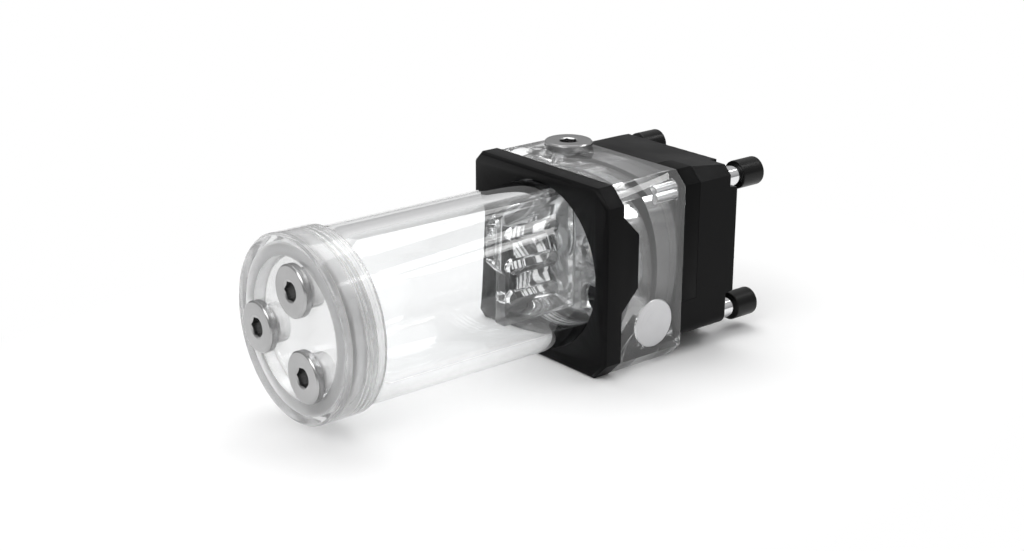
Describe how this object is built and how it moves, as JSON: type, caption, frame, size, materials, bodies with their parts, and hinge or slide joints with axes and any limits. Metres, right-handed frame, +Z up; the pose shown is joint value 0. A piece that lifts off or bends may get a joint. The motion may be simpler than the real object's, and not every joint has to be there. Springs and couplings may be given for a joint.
{
  "type": "coolant pump reservoir",
  "caption": "Clear cylindrical coolant reservoir lying on its side, with a threaded end cap, a black holder frame, a clear pump top and a pump held by thumb screws.",
  "frame": {"origin": "centre of the bounding box's bottom face", "axes": "+X along the tube axis from the end cap to the pump, -Y to the side with the round disc and the tab, +Z up"},
  "size_m": [0.187, 0.0712, 0.0712],
  "materials": {
    "clear_acrylic": "polished clear acrylic",
    "black_aluminium": "satin black anodised",
    "black_plastic": "satin moulded plastic",
    "nickel": "satin nickel plating",
    "chrome": "polished",
    "silver_disc": "fine brushed",
    "seal_rubber": "matte",
    "grey_rubber": "matte",
    "ceramic": "fine ground ceramic",
    "magnet": "sintered",
    "core_steel": "laminated",
    "coil_copper": "enamelled copper",
    "board_green": "solder mask",
    "impeller_plastic": "moulded"
  },
  "bodies": {
    "base": {"reservoir_tube": "clear_acrylic", "tube_seal": "grey_rubber", "holder_frame": "black_aluminium", "flow_plate": "clear_acrylic", "pump_top": "clear_acrylic", "badge_disc": "silver_disc", "volute_plate": "clear_acrylic", "pump_seal": "seal_rubber", "pump_flange": "black_plastic", "stator_core": "core_steel", "stator_coils": "coil_copper", "circuit_board": "board_green", "pump_housing": "black_aluminium", "cable_grommet": "seal_rubber", "bearing_shaft": "ceramic"},
    "rotor": {"impeller": "impeller_plastic", "rotor_magnet": "magnet", "bearing_bush": "ceramic"},
    "cap_ring": {"cap_seal": "grey_rubber"},
    "cap": {"end_cap": "clear_acrylic"},
    "cap_plug_1_ring": {"cap_plug_1_seal": "seal_rubber"},
    "cap_plug_1": {"cap_plug_1": "nickel"},
    "cap_plug_2_ring": {"cap_plug_2_seal": "seal_rubber"},
    "cap_plug_2": {"cap_plug_2": "nickel"},
    "cap_plug_3_ring": {"cap_plug_3_seal": "seal_rubber"},
    "cap_plug_3": {"cap_plug_3": "nickel"},
    "top_plug_ring": {"top_plug_seal": "seal_rubber"},
    "top_plug": {"top_plug": "nickel"},
    "washer_1": {"thumb_washer_1": "black_plastic"},
    "screw_1": {"thumb_screw_1": "chrome", "thumb_grip_1": "black_plastic"},
    "washer_2": {"thumb_washer_2": "black_plastic"},
    "screw_2": {"thumb_screw_2": "chrome", "thumb_grip_2": "black_plastic"},
    "washer_3": {"thumb_washer_3": "black_plastic"},
    "screw_3": {"thumb_screw_3": "chrome", "thumb_grip_3": "black_plastic"},
    "washer_4": {"thumb_washer_4": "black_plastic"},
    "screw_4": {"thumb_screw_4": "chrome", "thumb_grip_4": "black_plastic"}
  },
  "joints": [
    {"name": "impeller_spin", "type": "hinge", "parent": "base", "child": "rotor", "pos_m": [0.03915, 0, 0.0342], "axis": [1, 0, 0], "continuous": true},
    {"name": "cap_travel", "type": "slide", "parent": "base", "child": "cap_ring", "axis": [-1, 0, 0], "range_m": [0, 0.012]},
    {"name": "cap_turn", "type": "hinge", "parent": "cap_ring", "child": "cap", "pos_m": [-0.09075, 0, 0.0342], "axis": [-1, 0, 0], "range_deg": [0, 2161]},
    {"name": "cap_plug_1_travel", "type": "slide", "parent": "cap", "child": "cap_plug_1_ring", "axis": [-1, 0, 0], "range_m": [0, 0.006]},
    {"name": "cap_plug_1_turn", "type": "hinge", "parent": "cap_plug_1_ring", "child": "cap_plug_1", "pos_m": [-0.09075, -0.00532, 0.04929], "axis": [-1, 0, 0], "range_deg": [0, 1616.5]},
    {"name": "cap_plug_2_travel", "type": "slide", "parent": "cap", "child": "cap_plug_2_ring", "axis": [-1, 0, 0], "range_m": [0, 0.006]},
    {"name": "cap_plug_2_turn", "type": "hinge", "parent": "cap_plug_2_ring", "child": "cap_plug_2", "pos_m": [-0.09075, 0.01573, 0.03126], "axis": [-1, 0, 0], "range_deg": [0, 1616.5]},
    {"name": "cap_plug_3_travel", "type": "slide", "parent": "cap", "child": "cap_plug_3_ring", "axis": [-1, 0, 0], "range_m": [0, 0.006]},
    {"name": "cap_plug_3_turn", "type": "hinge", "parent": "cap_plug_3_ring", "child": "cap_plug_3", "pos_m": [-0.09075, -0.01041, 0.02205], "axis": [-1, 0, 0], "range_deg": [0, 1616.5]},
    {"name": "top_plug_travel", "type": "slide", "parent": "base", "child": "top_plug_ring", "axis": [0, 0, 1], "range_m": [0, 0.006]},
    {"name": "top_plug_turn", "type": "hinge", "parent": "top_plug_ring", "child": "top_plug", "pos_m": [0.03965, 0.016, 0.0684], "axis": [0, 0, 1], "range_deg": [0, 1616.5]},
    {"name": "screw_1_travel", "type": "slide", "parent": "base", "child": "washer_1", "axis": [1, 0, 0], "range_m": [0, 0.0105]},
    {"name": "screw_1_turn", "type": "hinge", "parent": "washer_1", "child": "screw_1", "pos_m": [0.07255, -0.0252, 0.0594], "axis": [1, 0, 0], "range_deg": [0, 5401]},
    {"name": "screw_2_travel", "type": "slide", "parent": "base", "child": "washer_2", "axis": [1, 0, 0], "range_m": [0, 0.0105]},
    {"name": "screw_2_turn", "type": "hinge", "parent": "washer_2", "child": "screw_2", "pos_m": [0.07255, 0.0252, 0.0594], "axis": [1, 0, 0], "range_deg": [0, 5401]},
    {"name": "screw_3_travel", "type": "slide", "parent": "base", "child": "washer_3", "axis": [1, 0, 0], "range_m": [0, 0.0105]},
    {"name": "screw_3_turn", "type": "hinge", "parent": "washer_3", "child": "screw_3", "pos_m": [0.07255, 0.0252, 0.009], "axis": [1, 0, 0], "range_deg": [0, 5401]},
    {"name": "screw_4_travel", "type": "slide", "parent": "base", "child": "washer_4", "axis": [1, 0, 0], "range_m": [0, 0.0105]},
    {"name": "screw_4_turn", "type": "hinge", "parent": "washer_4", "child": "screw_4", "pos_m": [0.07255, -0.0252, 0.009], "axis": [1, 0, 0], "range_deg": [0, 5401]}
  ],
  "couplings": [
    {"joint": "cap_turn", "follows": "cap_travel", "rad_per_m": 3141.6},
    {"joint": "cap_plug_1_turn", "follows": "cap_plug_1_travel", "rad_per_m": 4699.5},
    {"joint": "cap_plug_2_turn", "follows": "cap_plug_2_travel", "rad_per_m": 4699.5},
    {"joint": "cap_plug_3_turn", "follows": "cap_plug_3_travel", "rad_per_m": 4699.5},
    {"joint": "top_plug_turn", "follows": "top_plug_travel", "rad_per_m": 4699.5},
    {"joint": "screw_1_turn", "follows": "screw_1_travel", "rad_per_m": 8976},
    {"joint": "screw_2_turn", "follows": "screw_2_travel", "rad_per_m": 8976},
    {"joint": "screw_3_turn", "follows": "screw_3_travel", "rad_per_m": 8976},
    {"joint": "screw_4_turn", "follows": "screw_4_travel", "rad_per_m": 8976}
  ]
}
